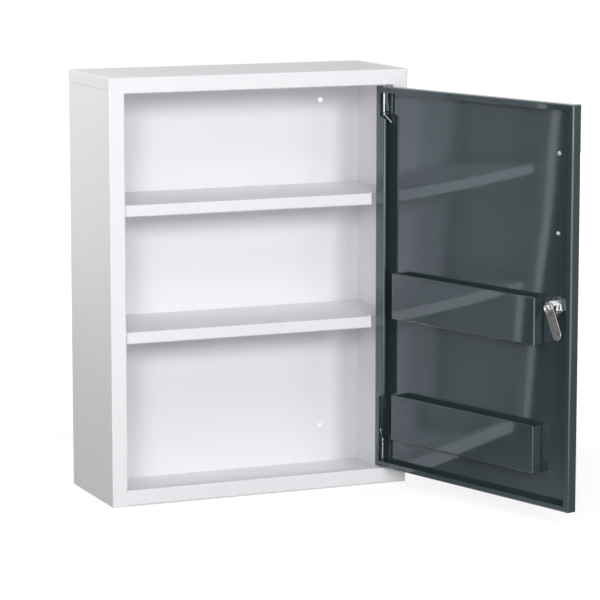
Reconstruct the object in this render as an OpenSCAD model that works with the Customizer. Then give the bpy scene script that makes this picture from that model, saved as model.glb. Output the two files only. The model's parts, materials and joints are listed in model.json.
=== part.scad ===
// Lockable wall cabinet for medicines, folded from sheet steel.
// The door hangs on two wire pins at its right edge and closes with a cam lock.
// Origin: centre of the underside. X runs to the right, Y to the wall, Z up.

/* [Carcass] */
// Overall width of the carcass
body_w = 400; // [340:1:600]
// Overall depth of the carcass
body_d = 152.4; // [120:0.1:250]
// Overall height of the carcass
body_h = 533.4; // [500:0.1:800]
// Thickness of the carcass sheet
sheet_t = 1; // [0.8:0.1:1.2]
// Outside radius of the carcass folds
fold_r = 1.8; // [1.5:0.1:3]
// Width of the frame around the door opening
frame_w = 20; // [18:0.5:30]
// Depth of the frame edges that turn back into the carcass
frame_return = 13.2; // [12:0.1:13.4]
// Height of the skirt of the top cap
cap_skirt_h = 15; // [10:0.5:17]
// Gap under the skirt, where a side panel ends
seam_gap = 0.5; // [0.3:0.1:1]
// Height of the corner relief under the latch-side return
relief_h = 3; // [2:0.5:5]
// Depth that the corner relief cuts into the frame face
relief_depth = 1.6; // [1.2:0.1:3]
// Width of the strips where two sheets lap
lap_w = 12; // [8:1:20]

/* [Shelves] */
// Height from the top of the carcass down to the upper shelf
upper_space = 158.75; // [120:0.25:170]
// Height from the upper shelf down to the lower shelf
middle_space = 158.75; // [120:0.25:170]
// Height of the front lip of a shelf
shelf_lip_h = 15; // [13:0.5:25]
// Depth of the safe edge turned back under the lip
shelf_hem = 6; // [4:0.5:10]
// Distance of the shelf lip behind the front of the carcass
shelf_setback = 16.7; // [16.5:0.1:30]
// Width of the shelf corner cut away at the hinge side
shelf_notch_w = 41; // [30:1:60]
// Depth of the shelf corner cut away at the hinge side
shelf_notch_d = 10; // [5:0.5:20]

/* [Wall holes] */
// Diameter of a wall screw hole
wall_hole_d = 6.5; // [4:0.5:10]
// Distance of the wall holes from the sides of the carcass
wall_hole_side = 55; // [30:1:90]
// Distance of the wall holes from the top and the underside
wall_hole_end = 50; // [30:1:60]

/* [Door] */
// Gap between the door and the frame, all round
door_gap = 1.5; // [1:0.1:2]
// Depth of the door pan
door_d = 13.7; // [13:0.1:14]
// Thickness of the door sheet
door_t = 1; // [0.8:0.1:1.2]
// Outside radius of the door folds
door_r = 2; // [1.5:0.1:3]
// Width of the return lip on the door's edges
lip_w = 8; // [6:0.5:9]
// Width of the return lip on the door's lower edge
bottom_lip_w = 7; // [6:0.5:9]
// Width of the return lip between the hinge notches
hinge_lip_w = 17; // [14:0.5:22]
// Depth of the edge folded back from the wide lip
hinge_lip_return = 2.5; // [2:0.5:5]
// Length of the lip notch at the upper hinge
upper_notch_h = 41; // [38:1:60]
// Length of the lip notch at the lower hinge
lower_notch_h = 95; // [70:1:120]
// Slant at the corners of the wide lip
notch_slant = 4; // [2:0.5:6]
// Angle at which the door stands open
door_open_angle = 106; // [0:1:107]

/* [Hinge pins] */
// Diameter of a hinge pin
pin_d = 3.2; // [2.5:0.1:3.5]
// Running clearance around a hinge pin
pin_clear = 0.08; // [0.05:0.01:0.1]
// Distance of the hinge axis from the door's hinge edge
pin_inset = 8.1; // [7.8:0.1:8.6]
// Distance of the hinge axis behind the door's outer face
pin_setback = 6.9; // [6.5:0.1:7]
// Length of pin that stands out of the door's end
pin_reach = 5.5; // [4.5:0.1:7]
// Distance of the guide from the door's end
guide_inset = 34; // [28:1:36]
// Length of the guide across the door
guide_l = 13; // [12:0.5:16]
// Width of the guide, front to back
guide_w = 9; // [7:0.5:10]
// Height of the guide's weld flange
guide_h = 10; // [8:1:14]
// Diameter of the finger leg
leg_d = 2.2; // [1.8:0.1:2.6]
// Distance that the finger leg reaches out from the axis
leg_out = 10.5; // [8:0.5:12]
// Distance that the upper finger leg runs along the axis
upper_leg_rise = 9.5; // [8:0.5:14]
// Distance that the lower finger leg runs along the axis
lower_leg_rise = 13.5; // [8:0.5:14]
// Gap between the bend of a pin and its guide
bend_gap = 0.3; // [0.2:0.1:1]
// Turn of the upper finger leg about the axis
upper_leg_turn = -20; // [-20:1:0]
// Turn of the lower finger leg about the axis
lower_leg_turn = 54; // [50:1:60]
// Diameter of the collar on the lower pin
collar_d = 5.5; // [5:0.5:8]
// Diameter of the collar's narrow end
collar_neck_d = 3.7; // [3.6:0.1:4.8]
// Length of the collar on the lower pin
collar_l = 6.5; // [4:0.5:8]
// Distance of the collar's wide end from the door's end
collar_inset = 12; // [9:0.5:16]

/* [Lock] */
// Distance of the lock and the handle from the door's free edge
fitting_inset = 35.5; // [32:0.5:36]
// Outside diameter of the lock barrel
barrel_d = 16; // [15:0.5:18]
// Width of the barrel across its two flats
barrel_flats = 13.6; // [12.8:0.1:14.4]
// Clearance of the barrel in the door
barrel_clear = 0.15; // [0.1:0.05:0.3]
// Diameter of the outer bezel
bezel_d = 20; // [19:0.5:24]
// Thickness of the outer bezel
bezel_t = 2.2; // [1.8:0.1:3]
// Width of the lock nut across its flats
nut_af = 22; // [21:0.5:24]
// Thickness of the lock nut
nut_t = 4; // [3:0.5:5]
// Turn of the lock nut about its axis
nut_turn = 15; // [0:1:60]
// Diameter of the lock plug
plug_d = 11.9; // [10:0.1:12.2]
// Running clearance around the lock plug
plug_clear = 0.05; // [0.03:0.01:0.1]
// Diameter of the plug's head, sunk into the bezel
plug_head_d = 14; // [13:0.1:14.2]
// Thickness of the plug's head
plug_head_t = 1; // [0.8:0.1:1.2]
// Width of the square that drives the cam
drive_w = 7; // [6:0.1:7.5]
// Width of the key slot
key_slot_w = 1.6; // [1.2:0.1:2]
// Length of the key slot
key_slot_l = 7.5; // [6:0.1:8]
// Depth of the key slot
key_slot_depth = 6; // [4:0.5:7]
// Distance of the cam behind the door's outer face
cam_setback = 14.1; // [14.1:0.1:14.3]
// Thickness of the cam
cam_t = 2; // [1.6:0.1:2.1]
// Width of the cam
cam_w = 15; // [14:0.5:17]
// Length of the cam from its axis to its tip
cam_l = 41; // [40:0.5:44]
// Width of the bevel along the cam's edges
cam_edge = 0.4; // [0.2:0.1:0.7]
// Turn of the cam from hanging straight down
cam_turn = 25; // [0:1:90]
// Air gap between the barrel and the cam
cam_gap = 0.3; // [0.2:0.05:0.4]
// Diameter of the cam washer
washer_d = 12.4; // [11:0.1:13]
// Sheet thickness of the cam washer
washer_t = 0.8; // [0.5:0.1:1]
// Height of the cam washer's raised rim
washer_rim_h = 2; // [1.5:0.1:2.4]
// Diameter of the cam screw's head
cam_screw_head_d = 8; // [7:0.1:9]
// Height of the cam screw's head
cam_screw_head_h = 2.4; // [2:0.1:2.6]
// Diameter of the cam screw
cam_screw_d = 4; // [3:0.5:4.5]
// Depth of the cam screw in the plug
cam_screw_depth = 7; // [5:0.5:7.5]

/* [Handle] */
// Distance between the handle's screws
handle_pitch = 96; // [64:1:128]
// Height of the handle's centre above the lock
handle_rise = 136.5; // [110:0.5:145]
// Diameter of the handle's rod
handle_d = 8; // [7:0.5:10]
// Distance that the handle stands out from the door
handle_out = 25; // [22:0.5:27]
// Bend radius of the handle's rod, on its centre line
handle_r = 9; // [7:0.5:12]
// Diameter of a handle screw
handle_screw_d = 3.5; // [3:0.1:4]
// Diameter of a handle screw's hole in the door
handle_hole_d = 4.2; // [4:0.1:4.5]
// Diameter of a handle screw's head
handle_head_d = 5.5; // [5:0.1:8]
// Height of a handle screw's head
handle_head_h = 2; // [1.6:0.1:3]
// Depth of a handle screw in the rod
handle_screw_depth = 9; // [6:0.5:10]

/* [Door pockets] */
// Height of a door pocket
pocket_h = 59.5; // [40:0.5:60]
// Depth of a door pocket
pocket_d = 15; // [12:0.1:15.2]
// Thickness of the pocket sheet
pocket_t = 1; // [0.8:0.1:1.2]
// Outside radius of the pocket folds
pocket_r = 2; // [1.5:0.1:3]
// Distance of the pockets from the axis of the lock
pocket_lock_gap = 24.5; // [23:0.5:60]
// Distance of the pockets from the door's hinge edge
pocket_hinge_gap = 34.5; // [30:0.5:100]
// Width of the pocket's weld flanges
pocket_flange = 10; // [8:0.5:14]
// Height of the hem along the pocket's open edge
pocket_hem_h = 6; // [4:0.5:10]
// Height of the upper pocket's underside
upper_pocket_z = 217; // [216.5:0.5:290]
// Height of the lower pocket's underside
lower_pocket_z = 60; // [40:0.5:130]

/* [Hidden] */
$fn = 64;

// Carcass planes
side_x = body_w / 2;
front_y = -body_d / 2;
back_y = body_d / 2;
opening_x = side_x - frame_w;
opening_top = body_h - frame_w;
skirt_z = body_h - cap_skirt_h;
upper_shelf_z = body_h - upper_space;
lower_shelf_z = upper_shelf_z - middle_space;
shelf_front = front_y + shelf_setback;

// Door, as it lies when closed
door_w = 2 * (opening_x - door_gap);
door_h = body_h - 2 * (frame_w + door_gap);
door_bottom = frame_w + door_gap;
door_top = door_bottom + door_h;
door_free = -door_w / 2;
door_hinged = door_w / 2;
door_inside = front_y + door_t;
wide_lip_x = door_hinged - hinge_lip_w;
wide_lip_bottom = door_bottom + lower_notch_h;
wide_lip_top = door_top - upper_notch_h;
wide_lip_fold = 2 * door_r;

// Hinge axis
hinge_x = door_hinged - pin_inset;
hinge_y = front_y + pin_setback;
pin_hole_d = pin_d + 2 * pin_clear;
guide_t = door_t;
bend_inset = guide_inset + pin_d / 2 + bend_gap;

// Lock and handle
fitting_x = door_free + fitting_inset;
lock_z = body_h / 2;
handle_z = lock_z + handle_rise;
barrel_end = front_y + cam_setback - cam_gap;
cam_y = front_y + cam_setback;

// Door pockets
pocket_x = fitting_x + pocket_lock_gap;
pocket_w = door_hinged - pocket_hinge_gap - pocket_x;

white = [0.94, 0.94, 0.95];
grey = [0.29, 0.33, 0.36];
steel = [0.78, 0.79, 0.80];
chrome = [0.86, 0.87, 0.88];

// A hair's breadth by which a cutting shape passes the face that it cuts
over = 0.5;

// ---- shared shapes ----

// Rectangle with all four corners rounded
module round_rect(w, h, r) {
    translate([r, 0]) square([w - 2 * r, h]);
    translate([0, r]) square([w, h - 2 * r]);
    for (x = [r, w - r], y = [r, h - r])
        translate([x, y]) circle(r = r);
}

// Extrudes a section, drawn in depth and height, along the width
module along_x(x0, x1) {
    translate([x0, 0, 0])
        rotate([90, 0, 90])
            linear_extrude(x1 - x0) children();
}

// Extrudes a section, drawn in width and height, along the depth
module along_y(y0, y1) {
    translate([0, y1, 0])
        rotate([90, 0, 0])
            linear_extrude(y1 - y0) children();
}

// Turns a shape that stands on z = 0 so that it points to +y from y0
module point_back(y0) {
    translate([0, y0, 0]) rotate([-90, 0, 0]) children();
}

// Block w by d by h with its folds rounded along all three axes
module folded_block(w, d, h, r) {
    intersection() {
        linear_extrude(h) round_rect(w, d, r);
        along_x(0, w) round_rect(d, h, r);
        along_y(0, d) round_rect(w, h, r);
    }
}

// Closed box of sheet t, rounded outside by r and inside by r - t
module sheet_box(w, d, h, r, t) {
    difference() {
        folded_block(w, d, h, r);
        translate([t, t, t])
            folded_block(w - 2 * t, d - 2 * t, h - 2 * t, r - t);
    }
}

// Frame section with a return: the face runs along x, the long flange runs
// back at x = 0 and the return runs back at x = frame_w
module frame_section() {
    difference() {
        round_rect(frame_w, 2 * body_d, fold_r);
        translate([sheet_t, sheet_t])
            round_rect(frame_w - 2 * sheet_t, 2 * body_d, fold_r - sheet_t);
        translate([frame_w / 2, frame_return]) square([frame_w, 2 * body_d]);
        translate([-over, body_d]) square([frame_w, 2 * body_d]);
    }
}

// Angle in section, folded from sheet t with outside radius r: the face is w
// wide along x, the flange d deep along y
module angle_section(w, d, r, t) {
    difference() {
        round_rect(2 * w, 2 * d, r);
        translate([t, t]) round_rect(2 * w, 2 * d, r - t);
        translate([w, -over]) square([2 * w, 3 * d]);
        translate([-over, d]) square([3 * w, 2 * d]);
    }
}

// Frame section without a return: the face ends in a plain edge
module plain_frame_section() {
    angle_section(frame_w, body_d, fold_r, sheet_t);
}

// Swings what is modelled on the closed door to where it stands open
module on_door() {
    translate([hinge_x, hinge_y, 0])
        rotate([0, 0, door_open_angle])
            translate([-hinge_x, -hinge_y, 0])
                children();
}

// Carries what is modelled around the lock's axis
module on_lock() {
    on_door()
        translate([fitting_x, 0, lock_z]) children();
}

// Carries what is modelled with the cam hanging straight down
module on_plug() {
    on_lock()
        rotate([0, cam_turn, 0]) children();
}

// Carries hinge parts, modelled with the door's end at z = 0 and the door's
// middle above it
module at_lower_hinge() {
    on_door()
        translate([hinge_x, hinge_y, door_bottom]) children();
}

module at_upper_hinge() {
    on_door()
        translate([hinge_x, hinge_y, door_top]) mirror([0, 0, 1]) children();
}

// Rounded screw head that stands on z = 0, with a cross recess
module pan_head(d, h) {
    dome_r = 0.8 * d;
    slot_w = 0.16 * d;
    slot_l = 0.6 * d;
    difference() {
        intersection() {
            cylinder(d = d, h = h);
            translate([0, 0, h - dome_r]) sphere(r = dome_r);
        }
        for (a = [0, 90])
            rotate([0, 0, a])
                translate([-slot_l / 2, -slot_w / 2, h / 2]) cube([slot_l, slot_w, h]);
    }
}

// ---- carcass ----

// Hole for a hinge pin through the ledge at height z
module ledge_hole(z) {
    translate([hinge_x, hinge_y, z - 2 * sheet_t])
        cylinder(d = pin_hole_d, h = 4 * sheet_t);
}

module top_cap() {
    color(white) {
        difference() {
            // top sheet and skirt
            translate([-side_x, front_y, skirt_z - cap_skirt_h])
                sheet_box(body_w, 2 * body_d, 2 * cap_skirt_h, fold_r, sheet_t);
            translate([-body_w, back_y, 0]) cube([2 * body_w, 2 * body_d, body_h + over]);
            translate([-body_w, front_y - over, 0]) cube([2 * body_w, 2 * body_d, skirt_z]);
        }
        // header over the door, with the ledge that holds the upper pin
        difference() {
            translate([0, 0, body_h])
                mirror([0, 0, 1])
                    translate([0, front_y, 0])
                        along_x(-opening_x, opening_x) mirror([1, -1]) frame_section();
            translate([-body_w, front_y - over, skirt_z]) cube([2 * body_w, 2 * body_d, body_h]);
            ledge_hole(opening_top);
        }
    }
}

// Strip behind the skirt that joins a side panel to the top cap
module lap_strip() {
    translate([sheet_t, lap_w, skirt_z - lap_w])
        cube([sheet_t, body_d - 2 * lap_w, lap_w + cap_skirt_h - 3 * sheet_t]);
}

// Cuts the upper edge of a side panel, short of the rounded front corner
module skirt_seam() {
    translate([-over, fold_r, skirt_z - seam_gap])
        cube([sheet_t + over, 2 * body_d, seam_gap + over]);
}

module left_side() {
    color(white)
        translate([-side_x, front_y, 0]) {
            difference() {
                linear_extrude(frame_w + relief_h) plain_frame_section();
                translate([frame_w - relief_depth, -over, frame_w])
                    cube([frame_w, frame_w, relief_h + over]);
            }
            translate([0, 0, frame_w + relief_h])
                linear_extrude(opening_top - frame_w - relief_h) frame_section();
            difference() {
                translate([0, 0, opening_top])
                    linear_extrude(skirt_z - opening_top) plain_frame_section();
                skirt_seam();
            }
            lap_strip();
        }
}

module right_side() {
    color(white)
        translate([side_x, front_y, 0])
            mirror([1, 0, 0]) {
                difference() {
                    linear_extrude(skirt_z) plain_frame_section();
                    skirt_seam();
                }
                lap_strip();
            }
}

module bottom_pan() {
    floor_w = body_w - 2 * sheet_t;
    color(white)
        difference() {
            union() {
                translate([0, front_y, 0])
                    along_x(-opening_x, opening_x) mirror([1, -1]) frame_section();
                for (s = [-1, 1])
                    translate([s * (floor_w + 2 * opening_x) / 4, sheet_t / 2, sheet_t / 2])
                        cube([floor_w / 2 - opening_x, body_d - sheet_t, sheet_t], center = true);
            }
            ledge_hole(frame_w);
        }
}

module back_panel() {
    panel_w = body_w - 2 * sheet_t;
    color(white)
        difference() {
            union() {
                translate([-panel_w / 2, back_y - sheet_t, sheet_t])
                    cube([panel_w, sheet_t, body_h - 2 * sheet_t]);
                // flange that laps under the top cap
                translate([-panel_w / 2 + sheet_t, back_y - lap_w, body_h - 2 * sheet_t])
                    cube([panel_w - 2 * sheet_t, lap_w - sheet_t, sheet_t]);
            }
            for (s = [-1, 1], z = [wall_hole_end, body_h - wall_hole_end])
                translate([s * (side_x - wall_hole_side), 0, z])
                    point_back(back_y - sheet_t - over) cylinder(d = wall_hole_d, h = sheet_t + 2 * over);
        }
}

module shelf(top_z) {
    shelf_w = body_w - 2 * sheet_t;
    shelf_d = back_y - sheet_t - shelf_front;
    color(white)
        translate([-shelf_w / 2, shelf_front, top_z - shelf_lip_h])
            difference() {
                sheet_box(shelf_w, shelf_d, shelf_lip_h, fold_r, sheet_t);
                // open underside, behind the safe edge of the lip
                translate([-over, shelf_hem, -over]) cube([body_w, body_d, fold_r + over]);
                // corner cut away for the swing of the door's hinge edge
                translate([shelf_w - shelf_notch_w, -over, -over])
                    cube([body_w, shelf_notch_d + over, shelf_lip_h + 2 * over]);
            }
}

module upper_shelf() {
    shelf(upper_shelf_z);
}

module lower_shelf() {
    shelf(lower_shelf_z);
}

// ---- door ----

// Opening inside the return lips, in width and height. The lip is wide
// between the hinge notches and narrow beside the pins.
module lip_opening() {
    notch_x = door_hinged - lip_w;
    polygon([
        [door_free + lip_w, door_bottom + bottom_lip_w],
        [notch_x, door_bottom + bottom_lip_w],
        [notch_x, wide_lip_bottom - notch_slant],
        [wide_lip_x, wide_lip_bottom],
        [wide_lip_x + wide_lip_fold, wide_lip_bottom],
        [wide_lip_x + wide_lip_fold, wide_lip_top],
        [wide_lip_x, wide_lip_top],
        [notch_x, wide_lip_top + notch_slant],
        [notch_x, door_top - lip_w],
        [door_free + lip_w, door_top - lip_w]
    ]);
}

// Lock barrel in section: round, with a flat on each side
module barrel_section(clear) {
    intersection() {
        circle(d = barrel_d + 2 * clear);
        square([barrel_flats + 2 * clear, 2 * barrel_d], center = true);
    }
}

module door_pan() {
    color(grey)
    on_door() {
        difference() {
            translate([door_free, front_y, door_bottom])
                sheet_box(door_w, door_d, door_h, door_r, door_t);
            along_y(front_y + door_d - door_t - over, front_y + door_d + over) lip_opening();
            // lock
            translate([fitting_x, 0, lock_z])
                along_y(front_y - over, door_inside + over) barrel_section(barrel_clear);
            // handle screws
            for (s = [-1, 1])
                translate([fitting_x, 0, handle_z + s * handle_pitch / 2])
                    point_back(front_y - over) cylinder(d = handle_hole_d, h = door_t + 2 * over);
            // hinge pins
            for (z = [door_bottom, door_top])
                translate([hinge_x, hinge_y, z - 2 * door_t]) cylinder(d = pin_hole_d, h = 4 * door_t);
        }
        // edge of the wide lip, folded back into the door
        translate([wide_lip_x, front_y + door_d, wide_lip_bottom])
            mirror([0, 1, 0])
                linear_extrude(wide_lip_top - wide_lip_bottom)
                    angle_section(wide_lip_fold, door_t + hinge_lip_return, door_r, door_t);
    }
}

// Folded bin, open above, with weld flanges against the door's skin
module pocket(bottom_z) {
    hem_w = pocket_w - 2 * pocket_r;
    rim_z = pocket_h - pocket_t;
    color(grey)
    on_door()
        translate([pocket_x, door_inside, bottom_z]) {
            difference() {
                sheet_box(pocket_w, pocket_d, 2 * pocket_h, pocket_r, pocket_t);
                translate([-over, -over, rim_z]) cube([pocket_w + 2 * over, pocket_d + 2 * over, 2 * pocket_h]);
                translate([pocket_flange, -over, pocket_flange])
                    cube([pocket_w - 2 * pocket_flange, pocket_t + 2 * over, 2 * pocket_h]);
            }
            // hem along the open edge
            translate([pocket_r, pocket_d - 2 * pocket_t, pocket_h - pocket_hem_h])
                cube([hem_w, pocket_t, pocket_hem_h - pocket_t]);
            translate([pocket_r, pocket_d - pocket_t, rim_z])
                rotate([0, 90, 0])
                    cylinder(r = pocket_t, h = hem_w);
        }
}

module upper_pocket() {
    pocket(upper_pocket_z);
}

module lower_pocket() {
    pocket(lower_pocket_z);
}

// ---- hinges ----

// Angle that is welded inside the door's hinge edge and guides a pin
module pin_guide() {
    wall_x = pin_inset - door_t;
    color(grey)
        difference() {
            union() {
                translate([wall_x - guide_l, -guide_w / 2, guide_inset - guide_t])
                    cube([guide_l, guide_w, guide_t]);
                translate([wall_x - guide_t, -guide_w / 2, guide_inset - guide_h])
                    cube([guide_t, guide_w, guide_h - guide_t]);
            }
            translate([0, 0, guide_inset - 2 * guide_t]) cylinder(d = pin_hole_d, h = 3 * guide_t);
        }
}

// Straight pin with a leg, bent off it, to draw it by
module hinge_pin(turn, rise) {
    tip = 0.5;
    leg_l = norm([leg_out, rise]);
    color(steel) {
        translate([0, 0, -pin_reach]) cylinder(d1 = pin_d - 2 * tip, d2 = pin_d, h = tip);
        translate([0, 0, tip - pin_reach]) cylinder(d = pin_d, h = bend_inset + pin_reach - tip);
        translate([0, 0, bend_inset]) {
            sphere(d = pin_d);
            rotate([0, 0, 180 - turn])
                rotate([0, atan2(leg_out, rise), 0]) {
                    cylinder(d = leg_d, h = leg_l);
                    translate([0, 0, leg_l]) sphere(d = leg_d);
                }
        }
    }
}

module upper_pin_guide() {
    at_upper_hinge() pin_guide();
}

module lower_pin_guide() {
    at_lower_hinge() pin_guide();
}

module upper_hinge_pin() {
    at_upper_hinge() hinge_pin(upper_leg_turn, upper_leg_rise);
}

module lower_hinge_pin() {
    at_lower_hinge() hinge_pin(lower_leg_turn, lower_leg_rise);
}

module lower_pin_collar() {
    color(steel)
    at_lower_hinge()
        translate([0, 0, collar_inset - collar_l])
            difference() {
                cylinder(d1 = collar_neck_d, d2 = collar_d, h = collar_l);
                translate([0, 0, -over]) cylinder(d = pin_d, h = collar_l + 2 * over);
            }
}

// ---- lock ----

module lock_barrel() {
    rim = 0.6;
    color(chrome)
    on_lock()
        difference() {
            union() {
                along_y(front_y - over, barrel_end) barrel_section(0);
                point_back(front_y - bezel_t) {
                    cylinder(d1 = bezel_d - 2 * rim, d2 = bezel_d, h = rim);
                    translate([0, 0, rim]) cylinder(d = bezel_d, h = bezel_t - rim);
                }
            }
            // bore for the plug and seat for its head
            point_back(front_y - bezel_t - over)
                cylinder(d = plug_d + 2 * plug_clear, h = bezel_t + cam_setback + 2 * over);
            point_back(front_y - bezel_t - over)
                cylinder(d = plug_head_d + 2 * plug_clear, h = plug_head_t + plug_clear + over);
        }
}

module lock_nut() {
    corner_r = nut_af / 2 / cos(30);
    chamfer = 0.6;
    color(chrome)
    on_lock()
        point_back(door_inside)
            difference() {
                intersection() {
                    rotate([0, 0, nut_turn + 30]) cylinder(r = corner_r, h = nut_t, $fn = 6);
                    rotate_extrude()
                        polygon([
                            [0, 0],
                            [corner_r - chamfer, 0],
                            [corner_r + chamfer, 2 * chamfer],
                            [corner_r + chamfer, nut_t - 2 * chamfer],
                            [corner_r - chamfer, nut_t],
                            [0, nut_t]
                        ]);
                }
                translate([0, 0, -over]) cylinder(d = barrel_d, h = nut_t + 2 * over);
            }
}

module lock_plug() {
    color(steel)
    on_plug()
        difference() {
            union() {
                point_back(front_y - bezel_t) {
                    cylinder(d = plug_head_d, h = plug_head_t);
                    cylinder(d = plug_d, h = bezel_t + cam_setback);
                }
                along_y(cam_y - over, cam_y + cam_t) square(drive_w, center = true);
            }
            translate([-key_slot_w / 2, front_y - bezel_t - over, -key_slot_l / 2])
                cube([key_slot_w, key_slot_depth + over, key_slot_l]);
            point_back(cam_y + cam_t - cam_screw_depth)
                cylinder(d = cam_screw_d, h = cam_screw_depth + over);
        }
}

// Half of the cam in section, from its middle to its bevelled edge
module cam_half_section() {
    polygon([
        [0, 0],
        [cam_w / 2 - cam_edge, 0],
        [cam_w / 2, cam_edge],
        [cam_w / 2, cam_t - cam_edge],
        [cam_w / 2 - cam_edge, cam_t],
        [0, cam_t]
    ]);
}

module lock_cam() {
    tip_z = cam_w / 2 - cam_l;
    color(chrome)
    on_plug()
        difference() {
            union() {
                point_back(cam_y)
                    rotate([0, 0, 180]) rotate_extrude(angle = 180) cam_half_section();
                translate([0, cam_y, tip_z])
                    linear_extrude(-tip_z) {
                        cam_half_section();
                        mirror([1, 0]) cam_half_section();
                    }
                translate([0, 0, tip_z])
                    point_back(cam_y) rotate_extrude(angle = 180) cam_half_section();
            }
            along_y(cam_y - over, cam_y + cam_t + over) square(drive_w, center = true);
        }
}

// Dished washer: a flat floor under the screw's head and a sloping rim
module cam_washer() {
    slope = 0.6;
    rim_r = washer_d / 2;
    color(steel)
    on_plug()
        point_back(cam_y + cam_t)
            rotate_extrude()
                polygon([
                    [cam_screw_d / 2, 0],
                    [rim_r - slope, 0],
                    [rim_r, washer_rim_h],
                    [rim_r - washer_t, washer_rim_h],
                    [rim_r - washer_t - slope, washer_t],
                    [cam_screw_d / 2, washer_t]
                ]);
}

module cam_screw() {
    color(chrome)
    on_plug() {
        point_back(cam_y + cam_t - cam_screw_depth)
            cylinder(d = cam_screw_d, h = cam_screw_depth + washer_t);
        point_back(cam_y + cam_t + washer_t) pan_head(cam_screw_head_d, cam_screw_head_h);
    }
}

// ---- handle ----

// Half of the handle: one post and its elbow
module handle_half() {
    post = handle_out - handle_d / 2 - handle_r;
    arm_z = handle_pitch / 2;
    translate([0, -post, arm_z])
        point_back(0) cylinder(d = handle_d, h = post);
    translate([0, -post, arm_z - handle_r])
        rotate([0, -90, 180])
            rotate_extrude(angle = 90) translate([handle_r, 0]) circle(d = handle_d);
}

module handle() {
    bar = handle_pitch - 2 * handle_r;
    color(chrome)
    on_door()
        translate([fitting_x, front_y, handle_z])
            difference() {
                union() {
                    handle_half();
                    mirror([0, 0, 1]) handle_half();
                    translate([0, handle_d / 2 - handle_out, -bar / 2]) cylinder(d = handle_d, h = bar);
                }
                for (s = [-1, 1])
                    translate([0, 0, s * handle_pitch / 2])
                        point_back(-handle_screw_depth) cylinder(d = handle_screw_d, h = handle_screw_depth + over);
            }
}

module handle_screws() {
    color(steel)
    on_door()
        for (s = [-1, 1])
            translate([fitting_x, 0, handle_z + s * handle_pitch / 2]) {
                point_back(front_y - handle_screw_depth)
                    cylinder(d = handle_screw_d, h = handle_screw_depth + door_t);
                point_back(door_inside) pan_head(handle_head_d, handle_head_h);
            }
}

top_cap();
left_side();
right_side();
bottom_pan();
back_panel();
upper_shelf();
lower_shelf();
door_pan();
upper_pocket();
lower_pocket();
upper_pin_guide();
lower_pin_guide();
upper_hinge_pin();
lower_hinge_pin();
lower_pin_collar();
lock_barrel();
lock_nut();
lock_plug();
lock_cam();
cam_washer();
cam_screw();
handle();
handle_screws();
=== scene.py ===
"""Finishes for a folded-steel medicine cabinet, the thread of its lock barrel, and a plain white studio."""

import json
import math

import bpy
import numpy as np
from bpy.props import FloatProperty, FloatVectorProperty, PointerProperty
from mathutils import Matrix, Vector


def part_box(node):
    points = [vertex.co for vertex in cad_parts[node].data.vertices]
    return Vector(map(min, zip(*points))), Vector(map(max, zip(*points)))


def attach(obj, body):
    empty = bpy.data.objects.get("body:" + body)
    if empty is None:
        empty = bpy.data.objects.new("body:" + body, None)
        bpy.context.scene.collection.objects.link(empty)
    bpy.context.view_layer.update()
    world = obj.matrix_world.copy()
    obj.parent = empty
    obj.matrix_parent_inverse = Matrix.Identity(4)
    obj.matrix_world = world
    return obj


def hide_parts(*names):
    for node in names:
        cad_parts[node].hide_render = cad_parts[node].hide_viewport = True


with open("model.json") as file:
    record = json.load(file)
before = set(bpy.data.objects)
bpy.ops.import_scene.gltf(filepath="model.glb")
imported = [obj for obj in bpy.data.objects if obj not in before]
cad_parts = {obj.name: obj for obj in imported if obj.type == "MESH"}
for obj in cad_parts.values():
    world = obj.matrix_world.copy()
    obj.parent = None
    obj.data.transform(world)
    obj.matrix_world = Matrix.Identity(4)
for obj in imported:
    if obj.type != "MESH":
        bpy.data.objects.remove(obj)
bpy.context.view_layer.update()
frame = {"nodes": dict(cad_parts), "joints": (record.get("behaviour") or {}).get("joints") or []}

bl_info = {
    "name": "Medicine cabinet finishes",
    "version": (1, 0, 0),
    "blender": (4, 5, 0),
    "location": "3D View > Sidebar > Cabinet",
    "description": "Finishes for a folded-steel medicine cabinet and a studio to look at it in",
    "category": "Object",
}

# CAD nodes by finish
CARCASS = ("top_cap", "left_side", "right_side", "bottom_pan", "back_panel", "upper_shelf", "lower_shelf")
DOOR = ("door_pan", "upper_pocket", "lower_pocket", "upper_pin_guide", "lower_pin_guide")
ZINC_PLATED = ("upper_hinge_pin", "lower_hinge_pin", "lower_pin_collar", "handle_screws", "cam_washer",
               "lock_plug")
CHROMED = ("lock_nut", "cam_screw")

# The lock's axis points out of the open door's inner side, and DOOR_ACROSS runs along the door's width
LOCK_JOINT = next(j for j in frame["joints"] if j["name"] == "lock_turn")
LOCK_AXIS = np.array(LOCK_JOINT["axis"], float) / np.linalg.norm(LOCK_JOINT["axis"])
DOOR_ACROSS = np.array([LOCK_AXIS[1], -LOCK_AXIS[0], 0.0])
DOOR_LOW, DOOR_HIGH = (Vector(corner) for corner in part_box("door_pan"))
DOOR_MIDDLE = tuple((DOOR_LOW + DOOR_HIGH) / 2.0)

# Widths of the patterns in the finishes, in metres
CLOUD_SIZE = 0.16  # drift of a coat's colour
DRIFT_SIZE = 0.03  # drift of a coat's roughness
WAVE_SIZE = 0.22  # slow waves of the thin sheet
STREAK_SIZE = 0.006  # length of the brush marks
STREAK_SQUEEZE = 14.0  # how many times shorter they are across the brushing
EDGE_PATCH_SIZE = 0.005  # patches of the tint along edges, which on the cam is a painted highlight

# How far the edge tint reaches from an edge, in metres; on the cam it is a painted highlight
COAT_EDGE = 0.0007
PLATE_EDGE = 0.0004
# the cam's edges are painted lighter out to this reach: a painted highlight
CAM_HIGHLIGHT_EDGE = 0.0005

# Cosines of the angle between the rounded and the true normal where the edge tint starts and where it is full
EDGE_STARTS, EDGE_FULL = 0.998, 0.90

# Most of a noise lies between these
NOISE_LOW, NOISE_HIGH = 0.3, 0.7

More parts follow.
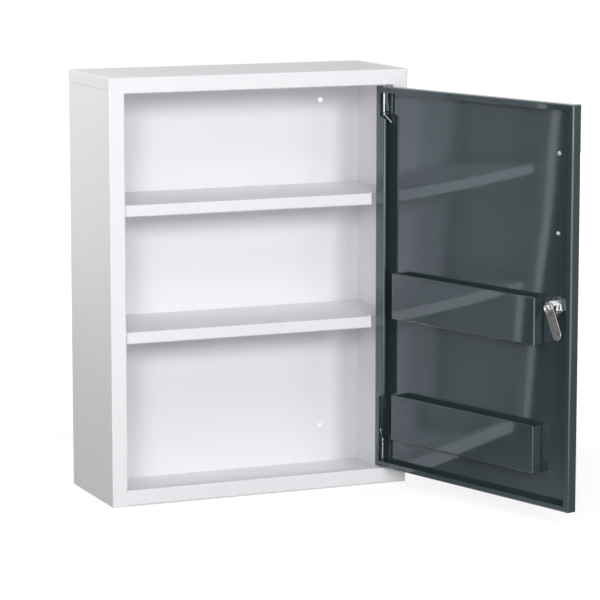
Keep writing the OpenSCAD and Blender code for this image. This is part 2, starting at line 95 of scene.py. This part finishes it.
# Lamps: place, point aimed at and width in metres, and whether reflections show it
MIDDLE = (0.0, 0.0, 0.27)
LAMPS = {
    "front_lamp": ((-0.10, -4.2, 1.40), MIDDLE, 0.7, True),
    "left_lamp": ((-2.0, -3.7, 1.40), MIDDLE, 0.7, False),
    "right_lamp": ((1.2, -4.0, 1.20), MIDDLE, 0.7, True),
    "high_lamp": ((0.0, -2.4, 2.60), MIDDLE, 1.2, True),
    "rear_lamp": ((2.6, 3.2, 0.60), MIDDLE, 1.0, False),
    "low_lamp": ((-0.9, -3.2, 0.35), (0.05, 0.0, 0.15), 0.6, True),
    "side_lamp": ((-1.0, 0.2, 0.95), (-0.2, 0.0, 0.50), 0.4, True),
}

# Cards that only reflections show: a corner, the two sides from it, and the tone at the left and at the right
CARDS = {
    "standing_card": ((-0.8, -0.1, 0.0), (0.0, 1.5, 0.0), (0.0, 0.0, 1.0), 0.08, 0.08),
    "lying_card": ((-1.7, -0.60, -0.0005), (1.9, 0.0, 0.0), (0.0, 2.1, 0.0), 0.02, 0.40),
    "right_card": ((1.25, -2.0, 0.0), (0.0, 1.5, 0.0), (0.0, 0.0, 0.9), 0.30, 0.30),
    "right_lying_card": ((0.22, -1.15, -0.0005), (1.05, 0.0, 0.0), (0.0, 0.77, 0.0), 0.26, 0.26),
}
CARD_LEFT, CARD_RIGHT = -0.1, 0.2  # X up to which a card has its left tone, and from which its right tone

FLOOR_HALF = 6.0
FLOOR_DROP = 0.001  # the floor lies this far under the cabinet
FLOOR_NEAR, FLOOR_FAR = 0.4, 1.4  # distances between which the seen floor brightens to white
FLOOR_GLOW = 0.78  # its own brightness near the cabinet
FLOOR_SHADOWED = 0.40  # grey of the part of it that takes shadows
FLOOR_PLAIN = 0.45  # grey of the floor that lights the object
WHITE = (1.0, 1.0, 1.0, 1.0)


# ---- sizes and colours ----

class WhiteCoat(bpy.types.PropertyGroup):
    """Powder coat of the carcass"""
    colour: FloatVectorProperty(
        name="Colour", description="Colour of the white coat", subtype="COLOR", size=3, min=0.0, max=1.0,
        default=(0.900, 0.893, 0.922))
    roughness: FloatProperty(
        name="Roughness", description="Mean roughness of the white coat", min=0.05, max=1.0, default=0.40)
    peel_height: FloatProperty(
        name="Peel height", description="Height of the coat's fine ripple", unit="LENGTH", min=0.0,
        max=0.0005, default=0.000012, precision=6)
    peel_size: FloatProperty(
        name="Peel size", description="Width of one ripple of the coat", unit="LENGTH", min=0.0002, max=0.01,
        default=0.0013, precision=5)
    wave_height: FloatProperty(
        name="Sheet wave", description="Height of the slow waves in the thin sheet", unit="LENGTH", min=0.0,
        max=0.003, default=0.0002, precision=5)


class GreyCoat(bpy.types.PropertyGroup):
    """Powder coat of the door"""
    colour: FloatVectorProperty(
        name="Colour", description="Colour of the grey coat", subtype="COLOR", size=3, min=0.0, max=1.0,
        default=(0.038, 0.056, 0.058))
    sheen_tint: FloatVectorProperty(
        name="Gloss tint", description="Tint of the coat's reflections", subtype="COLOR", size=3, min=0.0,
        max=1.0, default=(0.82, 0.90, 1.0))
    ior: FloatProperty(
        name="Gloss", description="Refractive index of the coat, which sets how strongly it mirrors", min=1.3,
        max=2.2, default=2.06)
    roughness: FloatProperty(
        name="Roughness", description="Mean roughness of the grey coat", min=0.02, max=1.0, default=0.045)
    peel_height: FloatProperty(
        name="Peel height", description="Height of the coat's fine ripple", unit="LENGTH", min=0.0,
        max=0.0005, default=0.000006, precision=6)
    peel_size: FloatProperty(
        name="Peel size", description="Width of one ripple of the coat", unit="LENGTH", min=0.0002, max=0.01,
        default=0.0012, precision=5)
    wave_height: FloatProperty(
        name="Sheet wave", description="Height of the slow waves in the thin sheet", unit="LENGTH", min=0.0,
        max=0.003, default=0.0012, precision=5)
    twist: FloatProperty(
        name="Twist", description="Turn of the skin about its height, in radians per metre", min=-0.5,
        max=0.5, default=-0.08)


class BrightMetal(bpy.types.PropertyGroup):
    """Plated and polished metal"""
    zinc: FloatVectorProperty(
        name="Zinc", description="Colour of the zinc plate", subtype="COLOR", size=3, min=0.0, max=1.0,
        default=(0.72, 0.73, 0.74))
    chrome: FloatVectorProperty(
        name="Chrome", description="Colour of the chrome plate", subtype="COLOR", size=3, min=0.0, max=1.0,
        default=(0.80, 0.81, 0.82))
    brushed: FloatVectorProperty(
        name="Brushed steel", description="Colour of the cam", subtype="COLOR", size=3, min=0.0, max=1.0,
        default=(0.50, 0.50, 0.49))
    thread_pitch: FloatProperty(
        name="Thread pitch", description="Pitch of the lock barrel's thread", unit="LENGTH", min=0.0005,
        max=0.002, default=0.001, precision=5)
    thread_depth: FloatProperty(
        name="Thread depth", description="Depth of the lock barrel's thread", unit="LENGTH", min=0.0001,
        max=0.001, default=0.00045, precision=5)


class Studio(bpy.types.PropertyGroup):
    """Camera, lamps and floor"""
    azimuth: FloatProperty(
        name="Azimuth", description="Turn of the camera to the left of the front", subtype="ANGLE",
        default=math.radians(22.984))
    elevation: FloatProperty(
        name="Elevation", description="Angle of the camera above the horizon", subtype="ANGLE",
        default=math.radians(8.888))
    distance: FloatProperty(
        name="Distance", description="Distance from the camera to its target", unit="LENGTH", default=3.75349)
    lens: FloatProperty(
        name="Lens", description="Focal length in millimetres on a 36 mm sensor", default=174.567)
    target: FloatVectorProperty(
        name="Target", description="Point that the camera looks at", subtype="TRANSLATION", size=3,
        default=(0.084186, 0.0, 0.232876))
    front_lamp: FloatProperty(
        name="Front lamp", description="Power of the lamp in front, in watts", min=0.0, default=45.5)
    left_lamp: FloatProperty(
        name="Left lamp", description="Power of the lamp at the front left, in watts", min=0.0, default=48.0)
    right_lamp: FloatProperty(
        name="Right lamp", description="Power of the lamp at the front right, in watts", min=0.0, default=9.0)
    high_lamp: FloatProperty(
        name="High lamp", description="Power of the wide lamp above the front, in watts", min=0.0,
        default=14.0)
    rear_lamp: FloatProperty(
        name="Rear lamp", description="Power of the lamp behind at the right, in watts", min=0.0,
        default=42.0)
    low_lamp: FloatProperty(
        name="Low lamp", description="Power of the low lamp in front, in watts", min=0.0, default=8.0)
    side_lamp: FloatProperty(
        name="Side lamp", description="Power of the small lamp at the left, in watts", min=0.0, default=5.2)
    room: FloatProperty(
        name="Room light", description="Strength of the even light all round", min=0.0, default=0.20)


# ---- material nodes ----

def map_range(nodes, links, source, low, high, to_low, to_high):
    """source between low and high becomes to_low to to_high."""
    node = nodes.new("ShaderNodeMapRange")
    node.inputs["From Min"].default_value = low
    node.inputs["From Max"].default_value = high
    node.inputs["To Min"].default_value = to_low
    node.inputs["To Max"].default_value = to_high
    links.new(source, node.inputs["Value"])
    return node.outputs["Result"]


class Sheet:
    """A material under construction: a Principled shader with small helpers that add nodes to it."""

    def __init__(self, name, colour, metallic=0.0, ior=1.5):
        self.material = bpy.data.materials.new(name)
        self.material.use_nodes = True
        self.nodes = self.material.node_tree.nodes
        self.links = self.material.node_tree.links
        self.shader = self.nodes["Principled BSDF"]
        self.shader.inputs["Metallic"].default_value = metallic
        self.shader.inputs["IOR"].default_value = ior
        self.shader.inputs["Base Color"].default_value = (*colour, 1.0)
        self.place = self.nodes.new("ShaderNodeTexCoord").outputs["Object"]
        self.colour = None
        self.normal = None

    def mapped(self, turn, stretch):
        """Object coordinates, turned and stretched."""
        node = self.nodes.new("ShaderNodeMapping")
        node.inputs["Rotation"].default_value = turn
        node.inputs["Scale"].default_value = stretch
        self.links.new(self.place, node.inputs["Vector"])
        return node.outputs["Vector"]

    def noise(self, size, detail, vector=None):
        """Noise whose features are about size metres wide."""
        node = self.nodes.new("ShaderNodeTexNoise")
        node.inputs["Scale"].default_value = 1.0 / size
        node.inputs["Detail"].default_value = detail
        self.links.new(vector or self.place, node.inputs["Vector"])
        return node.outputs["Fac"]

    def spread(self, source, low, high, to_low, to_high):
        """source between low and high becomes to_low to to_high."""
        return map_range(self.nodes, self.links, source, low, high, to_low, to_high)

    def times(self, a, b):
        """Product of two values."""
        node = self.nodes.new("ShaderNodeMath")
        node.operation = "MULTIPLY"
        self.links.new(a, node.inputs[0])
        self.links.new(b, node.inputs[1])
        return node.outputs[0]

    def dot(self, a, b):
        """Dot product of vector a with vector b, where b may be a plain triple."""
        node = self.nodes.new("ShaderNodeVectorMath")
        node.operation = "DOT_PRODUCT"
        self.links.new(a, node.inputs[0])
        if isinstance(b, tuple):
            node.inputs[1].default_value = b
        else:
            self.links.new(b, node.inputs[1])
        return node.outputs["Value"]

    def mix(self, factor):
        """Colour mix by factor, and its two colour inputs."""
        node = self.nodes.new("ShaderNodeMix")
        node.data_type = "RGBA"
        self.links.new(factor, node.inputs["Factor"])
        self.links.new(node.outputs[2], self.shader.inputs["Base Color"])
        return node.outputs[2], node.inputs[6], node.inputs[7]

    def tint(self, source, dark, light):
        """Colour that runs from dark to light with source."""
        self.colour, low, high = self.mix(source)
        low.default_value = (*dark, 1.0)
        high.default_value = (*light, 1.0)

    def tint_edges(self, reach, colour):
        """Mixes the tint towards colour on edges, as far as reach metres from them."""
        _, before, edge_colour = self.mix(self.edges(reach))
        self.links.new(self.colour, before)
        edge_colour.default_value = (*colour, 1.0)

    def edges(self, reach):
        """1 on edges and 0 on flats, broken up by noise.

        The normal is rounded over reach metres. Its dot product with the true normal is 1 on a flat and less on
        an edge, and is spread to 0 to 1.
        """
        rounded = self.nodes.new("ShaderNodeBevel")
        rounded.samples = 4
        rounded.inputs["Radius"].default_value = reach
        true = self.nodes.new("ShaderNodeNewGeometry").outputs["True Normal"]
        bent = self.spread(self.dot(rounded.outputs["Normal"], true), EDGE_STARTS, EDGE_FULL, 0.0, 1.0)
        return self.times(bent, self.spread(self.noise(EDGE_PATCH_SIZE, 3.0), 0.35, 0.62, 0.25, 1.0))

    def twisted(self, across, middle):
        """Distance from middle along across, times the height above middle: the shape of a twisted sheet."""
        off = self.nodes.new("ShaderNodeVectorMath")
        off.operation = "SUBTRACT"
        off.inputs[1].default_value = middle
        self.links.new(self.place, off.inputs[0])
        offset = off.outputs["Vector"]
        return self.times(self.dot(offset, across), self.dot(offset, (0.0, 0.0, 1.0)))

    def rough(self, source, low, high):
        """Roughness that runs from low to high with the noise source."""
        self.links.new(self.spread(source, NOISE_LOW, NOISE_HIGH, low, high), self.shader.inputs["Roughness"])

    def bump(self, source, height):
        """Adds source as relief of that height, on top of the relief so far."""
        node = self.nodes.new("ShaderNodeBump")
        node.inputs["Distance"].default_value = height
        node.inputs["Strength"].default_value = 1.0
        self.links.new(source, node.inputs["Height"])
        if self.normal:
            self.links.new(self.normal, node.inputs["Normal"])
        self.normal = node.outputs["Normal"]
        self.links.new(self.normal, self.shader.inputs["Normal"])


def shade(colour, factor):
    """colour made lighter or darker by factor."""
    return tuple(min(1.0, c * factor) for c in colour)


def powder_coat(name, coat, cloud, thin, ior=1.5, tint=(1.0, 1.0, 1.0), twist=0.0):
    """Baked powder coat on thin sheet.

    The sheet has slow waves and a twist, the coat a fine ripple and a roughness that drifts. Its colour drifts
    by the share cloud, and is multiplied by thin along edges, where the coat is thinner.
    """
    m = Sheet(name, coat.colour, ior=ior)
    m.shader.inputs["Specular Tint"].default_value = (*tint, 1.0)
    m.tint(m.noise(CLOUD_SIZE, 3.0), shade(coat.colour, 1.0 - cloud), shade(coat.colour, 1.0 + cloud))
    m.tint_edges(COAT_EDGE, shade(coat.colour, thin))
    m.rough(m.noise(DRIFT_SIZE, 4.0), coat.roughness * 0.9, coat.roughness * 1.12)
    if twist:
        m.bump(m.twisted(tuple(DOOR_ACROSS), DOOR_MIDDLE), twist)
    m.bump(m.noise(WAVE_SIZE, 0.0), coat.wave_height)
    m.bump(m.noise(coat.peel_size, 1.5), coat.peel_height)
    return m.material


def plated(name, colour, low, high, grain, height):
    """Plated metal of roughness low to high, with a grain of that width and height, and small smudges."""
    m = Sheet(name, colour, metallic=1.0)
    m.tint(m.noise(grain * 6.0, 3.0), shade(colour, 0.88), shade(colour, 1.02))
    m.tint_edges(PLATE_EDGE, shade(colour, 1.12))
    m.rough(m.noise(grain * 3.0, 4.0), low, high)
    m.bump(m.noise(grain, 2.0), height)
    return m.material


def brushed(name, colour, turn):
    """Steel brushed upwards: the grain is noise squeezed across the height, on axes turned by turn. Its edges
    are painted 1.5 times lighter, a painted highlight.
    """
    m = Sheet(name, colour, metallic=1.0)
    streak = m.noise(STREAK_SIZE, 4.0, m.mapped(turn, (STREAK_SQUEEZE, STREAK_SQUEEZE, 1.0)))
    m.tint(streak, shade(colour, 0.72), shade(colour, 1.18))
    # edges 1.5 times lighter: a painted highlight of light catching the cam's edges
    m.tint_edges(CAM_HIGHLIGHT_EDGE, shade(colour, 1.5))
    m.rough(streak, 0.24, 0.44)
    m.bump(streak, 0.00002)
    return m.material


def dress(names, material):
    """Gives these CAD nodes the material."""
    for name in names:
        for slot in frame["nodes"][name].material_slots:
            slot.material = material


# ---- surfaces ----

def ring_surface(name, points, material):
    """Mesh over a grid of points, rows by columns by 3, whose last row and column join the first."""
    rows, cols = points.shape[:2]
    a, b = np.meshgrid(np.arange(rows), np.arange(cols), indexing="ij")
    a1, b1 = (a + 1) % rows, (b + 1) % cols
    quads = np.stack([a * cols + b, a1 * cols + b, a1 * cols + b1, a * cols + b1], axis=-1).reshape(-1, 4)
    mesh = bpy.data.meshes.new(name)
    mesh.vertices.add(rows * cols)
    mesh.vertices.foreach_set("co", points.reshape(-1).astype(np.float32))
    mesh.loops.add(quads.size)
    mesh.loops.foreach_set("vertex_index", quads.reshape(-1).astype(np.int32))
    mesh.polygons.add(len(quads))
    mesh.polygons.foreach_set("loop_start", np.arange(0, quads.size, 4, dtype=np.int32))
    mesh.update(calc_edges=True)
    mesh.validate()
    mesh.materials.append(material)
    piece = bpy.data.objects.new(name, mesh)
    bpy.context.scene.collection.objects.link(piece)
    return piece


def threaded_barrel(origin, along, across, pitch, depth):
    """Points of the lock barrel, closed like a ring.

    A profile of (distance along the axis, radius) is turned about the axis. On the threaded stretch the
    radius falls below the crest by depth times a triangle wave of (distance / pitch - angle / full turn),
    which winds it into a helix. Behind the bezel the radius is capped at half the flats divided by
    |cos(angle)|, which planes the two flats.
    """
    crest, flats, bore, seat, bezel = 0.008, 0.0136, 0.0060, 0.00705, 0.0100
    front, skin, end = -0.0163, -0.0141, -0.0003
    seat_floor = front + 0.00105
    run = np.arange(skin + 0.0001, end - 0.0004, pitch / 12)
    lead = [(seat_floor, bore), (seat_floor, seat), (front, seat), (front, 0.0092), (front + 0.0001, 0.0096),
            (front + 0.0003, 0.00985), (front + 0.0006, bezel), (skin, bezel), (skin, crest)]
    tail = [(end - 0.0003, crest - depth), (end, crest - depth - 0.0003), (end, bore)]
    t = np.array([p[0] for p in lead] + list(run) + [p[0] for p in tail])
    r = np.array([p[1] for p in lead] + [crest] * len(run) + [p[1] for p in tail])
    row = np.arange(len(t))
    threaded = (row >= len(lead)) & (row < len(lead) + len(run))
    planed = row >= len(lead) - 1
    angle = np.linspace(0.0, 2.0 * np.pi, 120, endpoint=False)
    tt, aa = np.meshgrid(t, angle, indexing="ij")
    wave = np.abs(((tt / pitch - aa / (2.0 * np.pi)) % 1.0) * 2.0 - 1.0)
    rr = r[:, None] - threaded[:, None] * depth * wave
    cap = np.maximum(flats / 2.0 / np.maximum(np.abs(np.cos(aa)), 1e-6), bore)
    rr = np.where(planed[:, None], np.minimum(rr, cap), rr)
    outward = np.cos(aa)[..., None] * across + np.sin(aa)[..., None] * np.cross(along, across)
    return origin + tt[..., None] * along + rr[..., None] * outward


# ---- operators ----

class CABINET_OT_coat_carcass(bpy.types.Operator):
    """Coats the carcass and its shelves white"""
    bl_idname = "cabinet.coat_carcass"
    bl_label = "Coat the carcass"

    def execute(self, context):
        dress(CARCASS, powder_coat("white_powder_coat", context.scene.cabinet_white, cloud=0.012, thin=0.95))
        return {"FINISHED"}


class CABINET_OT_coat_door(bpy.types.Operator):
    """Coats the door, its bins and its pin guides slate grey"""
    bl_idname = "cabinet.coat_door"
    bl_label = "Coat the door"

    def execute(self, context):
        coat = context.scene.cabinet_grey
        grey = powder_coat("grey_powder_coat", coat, cloud=0.05, thin=1.6, ior=coat.ior, tint=coat.sheen_tint,
                           twist=coat.twist)
        dress(DOOR, grey)
        return {"FINISHED"}


class CABINET_OT_plate_pins(bpy.types.Operator):
    """Zinc-plates the hinge pins, the screws of the handle, the washer of the cam and the lock plug"""
    bl_idname = "cabinet.plate_pins"
    bl_label = "Plate the hinge pins"

    def execute(self, context):
        zinc = context.scene.cabinet_metal.zinc
        dress(ZINC_PLATED, plated("zinc_plate", zinc, low=0.20, high=0.34, grain=0.0006, height=0.00001))
        return {"FINISHED"}


class CABINET_OT_finish_lock(bpy.types.Operator):
    """Cuts the thread of the lock barrel, chromes the lock and brushes its cam"""
    bl_idname = "cabinet.finish_lock"
    bl_label = "Finish the lock"

    def execute(self, context):
        metal = context.scene.cabinet_metal
        chrome = plated("chrome_plate", metal.chrome, low=0.07, high=0.16, grain=0.0008, height=0.000005)
        dress(CHROMED, chrome)
        origin = np.array(LOCK_JOINT["pos_m"], float)
        points = threaded_barrel(origin, LOCK_AXIS, DOOR_ACROSS, metal.thread_pitch, metal.thread_depth)
        barrel = ring_surface("threaded_barrel", points, chrome)
        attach(barrel, "door")
        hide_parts("lock_barrel")
        yaw = math.atan2(LOCK_AXIS[1], LOCK_AXIS[0])
        dress(("lock_cam",), brushed("brushed_cam", metal.brushed, (0.0, 0.0, -yaw)))
        return {"FINISHED"}


class CABINET_OT_polish_handle(bpy.types.Operator):
    """Polishes the pull handle"""
    bl_idname = "cabinet.polish_handle"
    bl_label = "Polish the handle"

    def execute(self, context):
        chrome = context.scene.cabinet_metal.chrome
        dress(("handle",), plated("polished_rod", chrome, low=0.08, high=0.15, grain=0.004, height=0.00001))
        return {"FINISHED"}


class CABINET_OT_set_studio(bpy.types.Operator):
    """Sets the floor, the lamps, the room light, the cards and the camera"""
    bl_idname = "cabinet.set_studio"
    bl_label = "Set the studio"

    def execute(self, context):
        s = context.scene.cabinet_studio
        self.floor(context)
        self.room(context, s.room)
        for name, (place, aim, size, reflected) in LAMPS.items():
            self.lamp(context, name, place, aim, size, getattr(s, name), reflected)
        for name, (corner, side, rise, tone_left, tone_right) in CARDS.items():
            self.card(context, name, corner, side, rise, tone_left, tone_right)
        self.camera(context, s)
        context.scene.view_settings.view_transform = "Standard"
        return {"FINISHED"}

    @staticmethod
    def plane(context, name, corner, side, rise, material):
        """Flat four-sided piece of the stage."""
        corner, side, rise = (np.array(v) for v in (corner, side, rise))
        mesh = bpy.data.meshes.new(name)
        mesh.from_pydata([corner, corner + side, corner + side + rise, corner + rise], [], [(0, 1, 2, 3)])
        mesh.materials.append(material)
        piece = bpy.data.objects.new(name, mesh)
        context.scene.collection.objects.link(piece)
        return piece

    @staticmethod
    def white_seen(nodes, links, white, plain):
        """Shader that shows white to camera, glossy and transmission rays and plain to all others."""
        path = nodes.new("ShaderNodeLightPath")
        seen = path.outputs["Is Camera Ray"]
        for name in ("Is Glossy Ray", "Is Transmission Ray"):
            most = nodes.new("ShaderNodeMath")
            most.operation = "MAXIMUM"
            links.new(seen, most.inputs[0])
            links.new(path.outputs[name], most.inputs[1])
            seen = most.outputs[0]
        mix = nodes.new("ShaderNodeMixShader")
        links.new(seen, mix.inputs[0])
        links.new(plain, mix.inputs[1])
        links.new(white, mix.inputs[2])
        return mix.outputs[0]

    def floor(self, context):
        """Floor that glows towards white away from the cabinet and keeps its shadow."""
        material = bpy.data.materials.new("pale_floor")
        material.use_nodes = True
        nodes, links = material.node_tree.nodes, material.node_tree.links
        plain = nodes["Principled BSDF"]
        plain.inputs["Base Color"].default_value = (FLOOR_PLAIN, FLOOR_PLAIN, FLOOR_PLAIN, 1.0)
        plain.inputs["Roughness"].default_value = 0.6
        place = nodes.new("ShaderNodeTexCoord")
        away = nodes.new("ShaderNodeVectorMath")
        away.operation = "LENGTH"
        links.new(place.outputs["Object"], away.inputs[0])
        glow = nodes.new("ShaderNodeEmission")
        fade = map_range(nodes, links, away.outputs["Value"], FLOOR_NEAR, FLOOR_FAR, FLOOR_GLOW, 1.0)
        links.new(fade, glow.inputs["Strength"])
        pale = nodes.new("ShaderNodeBsdfDiffuse")
        pale.inputs["Color"].default_value = (FLOOR_SHADOWED, FLOOR_SHADOWED, FLOOR_SHADOWED, 1.0)
        both = nodes.new("ShaderNodeAddShader")
        links.new(glow.outputs[0], both.inputs[0])
        links.new(pale.outputs[0], both.inputs[1])
        seen = self.white_seen(nodes, links, both.outputs[0], plain.outputs[0])
        links.new(seen, nodes["Material Output"].inputs["Surface"])
        corner = (-FLOOR_HALF, -FLOOR_HALF, -FLOOR_DROP)
        self.plane(context, "floor", corner, (2 * FLOOR_HALF, 0.0, 0.0), (0.0, 2 * FLOOR_HALF, 0.0), material)

    def room(self, context, strength):
        """Even light of that strength on the object, before a background that is seen white."""
        world = bpy.data.worlds.new("room")
        context.scene.world = world
        world.use_nodes = True
        nodes, links = world.node_tree.nodes, world.node_tree.links
        plain = nodes["Background"]
        plain.inputs["Color"].default_value = WHITE
        plain.inputs["Strength"].default_value = strength
        white = nodes.new("ShaderNodeBackground")
        white.inputs["Color"].default_value = WHITE
        white.inputs["Strength"].default_value = 1.0
        seen = self.white_seen(nodes, links, white.outputs[0], plain.outputs[0])
        links.new(seen, nodes["World Output"].inputs["Surface"])

    def card(self, context, name, corner, side, rise, tone_left, tone_right):
        """Dull card beside the object, which only reflections show. Its tone changes from left to right."""
        material = bpy.data.materials.new(name)
        material.use_nodes = True
        nodes, links = material.node_tree.nodes, material.node_tree.links
        axes = nodes.new("ShaderNodeSeparateXYZ")
        links.new(nodes.new("ShaderNodeTexCoord").outputs["Object"], axes.inputs[0])
        tone = map_range(nodes, links, axes.outputs["X"], CARD_LEFT, CARD_RIGHT, tone_left, tone_right)
        links.new(tone, nodes["Principled BSDF"].inputs["Base Color"])
        card = self.plane(context, name, corner, side, rise, material)
        card.visible_camera = False
        card.visible_diffuse = False
        card.visible_shadow = False

    @staticmethod
    def lamp(context, name, place, aim, size, power, reflected):
        """Square area lamp at place, turned towards aim. Reflections show it only where reflected is true."""
        data = bpy.data.lights.new(name, "AREA")
        data.shape = "SQUARE"
        data.size = size
        data.energy = power
        lamp = bpy.data.objects.new(name, data)
        lamp.location = place
        lamp.rotation_euler = (Vector(aim) - Vector(place)).to_track_quat("-Z", "Y").to_euler()
        lamp.visible_camera = False
        lamp.visible_glossy = reflected
        context.scene.collection.objects.link(lamp)

    @staticmethod
    def camera(context, s):
        """Camera at that azimuth, elevation and distance from its target."""
        data = bpy.data.cameras.new("camera")
        data.lens = s.lens
        data.sensor_width = 36.0
        data.sensor_fit = "AUTO"
        data.dof.use_dof = False
        data.clip_start = 0.05
        data.clip_end = 50.0
        cam = bpy.data.objects.new("camera", data)
        level = math.cos(s.elevation)
        back = Vector((-math.sin(s.azimuth) * level, -math.cos(s.azimuth) * level, math.sin(s.elevation)))
        cam.location = Vector(s.target) + back * s.distance
        cam.rotation_euler = (-back).to_track_quat("-Z", "Y").to_euler()
        context.scene.collection.objects.link(cam)
        context.scene.camera = cam


class CABINET_PT_finishes(bpy.types.Panel):
    """Lists the cabinet's finishes and their sizes"""
    bl_idname = "CABINET_PT_finishes"
    bl_label = "Medicine cabinet"
    bl_space_type = "VIEW_3D"
    bl_region_type = "UI"
    bl_category = "Cabinet"

    def draw(self, context):
        scene = context.scene
        metal_operators = (CABINET_OT_plate_pins, CABINET_OT_finish_lock, CABINET_OT_polish_handle)
        for heading, group, operators in (
            ("Carcass", scene.cabinet_white, (CABINET_OT_coat_carcass,)),
            ("Door", scene.cabinet_grey, (CABINET_OT_coat_door,)),
            ("Metal", scene.cabinet_metal, metal_operators),
            ("Studio", scene.cabinet_studio, (CABINET_OT_set_studio,)),
        ):
            box = self.layout.box()
            box.label(text=heading)
            for key in group.bl_rna.properties.keys():
                if key not in ("rna_type", "name"):
                    box.prop(group, key)
            for operator in operators:
                box.operator(operator.bl_idname)


GROUPS = {
    "cabinet_white": WhiteCoat,
    "cabinet_grey": GreyCoat,
    "cabinet_metal": BrightMetal,
    "cabinet_studio": Studio,
}
OPERATORS = (CABINET_OT_coat_carcass, CABINET_OT_coat_door, CABINET_OT_plate_pins, CABINET_OT_finish_lock,
             CABINET_OT_polish_handle, CABINET_OT_set_studio)


def register():
    for name, group in GROUPS.items():
        bpy.utils.register_class(group)
        setattr(bpy.types.Scene, name, PointerProperty(type=group))
    for item in (*OPERATORS, CABINET_PT_finishes):
        bpy.utils.register_class(item)


def unregister():
    for item in (CABINET_PT_finishes, *reversed(OPERATORS)):
        bpy.utils.unregister_class(item)
    for name, group in GROUPS.items():
        delattr(bpy.types.Scene, name)
        bpy.utils.unregister_class(group)


def main():
    register()
    bpy.ops.cabinet.coat_carcass()
    bpy.ops.cabinet.coat_door()
    bpy.ops.cabinet.plate_pins()
    bpy.ops.cabinet.finish_lock()
    bpy.ops.cabinet.polish_handle()
    bpy.ops.cabinet.set_studio()


if __name__ == "__main__":
    main()
